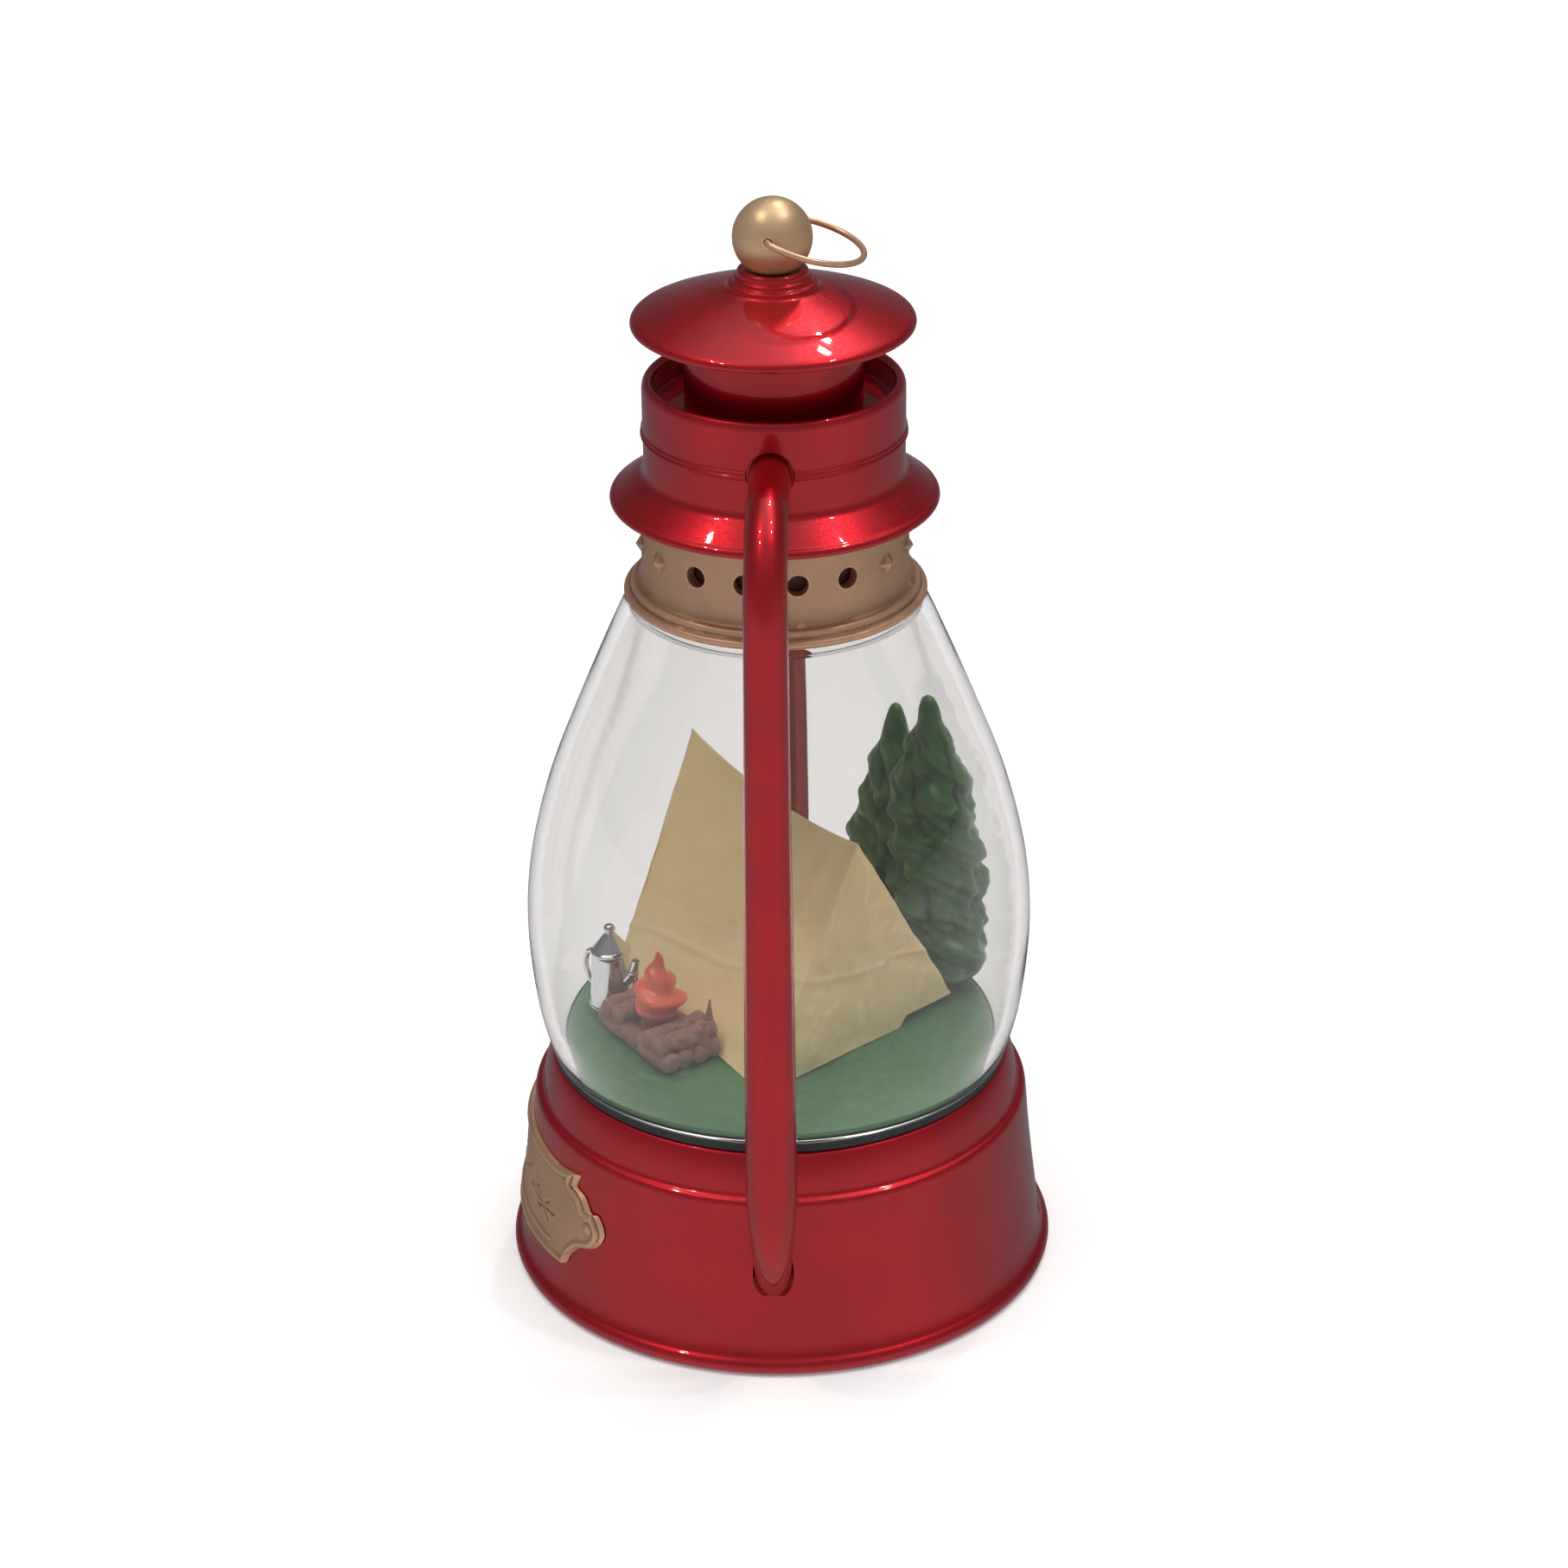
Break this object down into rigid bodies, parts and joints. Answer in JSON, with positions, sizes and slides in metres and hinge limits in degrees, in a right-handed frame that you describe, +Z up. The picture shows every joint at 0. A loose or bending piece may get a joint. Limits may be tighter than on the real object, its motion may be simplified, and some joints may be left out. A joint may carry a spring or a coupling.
{
  "type": "camping lantern ornament",
  "caption": "Small hanging lantern ornament: red base, hood and cap, bronze collar, clear globe over a campsite, wire hanging ring and a battery light.",
  "frame": {"origin": "centre of the circle that the base stands on, at floor height", "axes": "+Z up through the globe and the ball; +X towards the right-hand side tube; -Y is the front with the name plate"},
  "size_m": [0.0554, 0.05, 0.1012],
  "materials": {
    "candy_red": "metallic candy red lacquer on moulded plastic",
    "black_plastic": "fine moulded texture",
    "steel": "zinc plated",
    "board_green": "solder mask",
    "clear_lens": "clear epoxy lens",
    "dark_rubber": "matt",
    "grass_green": "painted, textured like grass",
    "clear_globe": "clear, polished",
    "tent_tan": "satin paint on moulded canvas folds",
    "pine_green": "semi-gloss paint",
    "bark_brown": "painted bark texture",
    "flame_orange": "translucent moulded resin",
    "chrome": "vacuum plated",
    "bronze": "antique bronze-gold metallic paint",
    "bronze_wire": "antiqued wire"
  },
  "bodies": {
    "lantern": {"base_shell": "candy_red", "bottom_cover": "black_plastic", "cover_screw_1": "steel", "cover_screw_2": "steel", "cover_screw_3": "steel", "battery_door": "black_plastic", "door_screw": "steel", "battery_tray": "black_plastic", "battery_cell_1": "steel", "battery_cell_2": "steel", "battery_cell_3": "steel", "contact_plate": "steel", "contact_spring": "steel", "circuit_board": "board_green", "led": "clear_lens", "switch_body": "black_plastic", "globe_gasket": "dark_rubber", "ground_disc": "grass_green", "globe": "clear_globe", "tent": "tent_tan", "pine_large": "pine_green", "pine_small": "pine_green", "campfire_logs": "bark_brown", "flame": "flame_orange", "coffee_pot": "chrome", "vent_collar": "bronze", "hood": "candy_red", "vent_drum": "candy_red", "chimney": "candy_red", "cap": "candy_red", "finial_ball": "bronze", "side_tube_right": "candy_red", "side_tube_left": "candy_red", "name_plate": "bronze"},
    "ring": {"hanging_ring": "bronze_wire"},
    "slider": {"switch_slider": "black_plastic"}
  },
  "joints": [
    {"name": "ring_swing", "type": "hinge", "parent": "lantern", "child": "ring", "pos_m": [0, 0, 0.09839], "axis": [0.9971, -0.0767, 0], "range_deg": [-25, 234]},
    {"name": "switch_slide", "type": "slide", "parent": "lantern", "child": "slider", "axis": [1, 0, 0], "range_m": [0, 0.002]}
  ]
}
